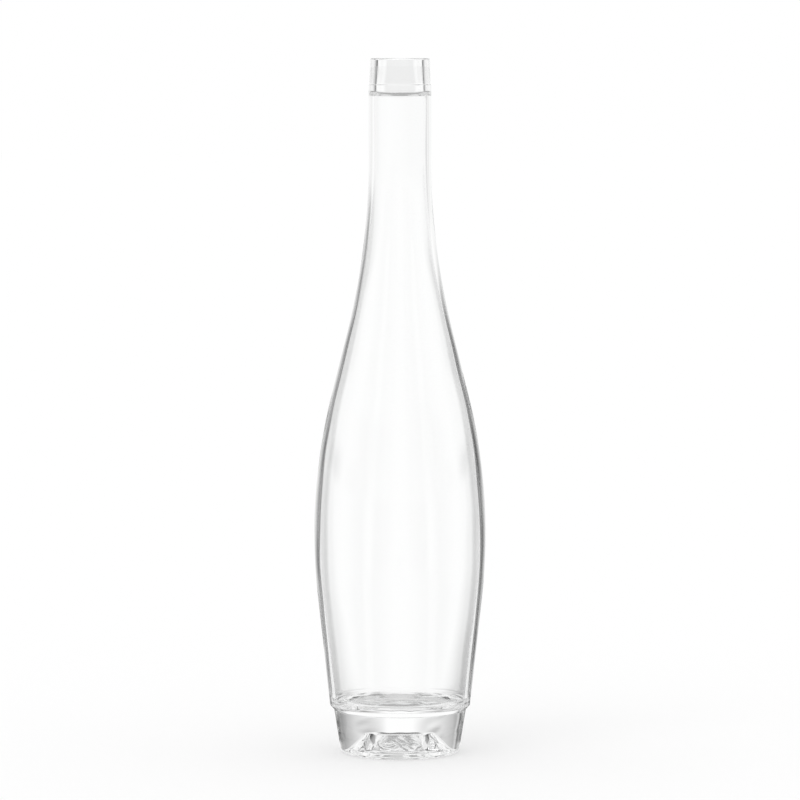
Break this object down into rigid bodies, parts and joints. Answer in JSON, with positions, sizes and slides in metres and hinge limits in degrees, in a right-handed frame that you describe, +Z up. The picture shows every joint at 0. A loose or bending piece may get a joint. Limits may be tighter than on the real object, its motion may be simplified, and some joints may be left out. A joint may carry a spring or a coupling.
{
  "type": "liquor bottle",
  "caption": "Slender one-piece clear glass bottle: long tapering shoulder, plain stopper mouth, thick ledged foot with a push-up.",
  "frame": {"origin": "centre of the ring that the bottle stands on, in the plane of the table", "axes": "+Z up along the bottle's axis, from the foot to the mouth; the bottle is turned, so X and Y are alike"},
  "size_m": [0.0742, 0.0742, 0.3],
  "materials": {
    "clear_glass": "clear colourless flint glass, fire-polished and glossy"
  },
  "bodies": {
    "root": {"glass_bottle": "clear_glass"}
  },
  "joints": []
}
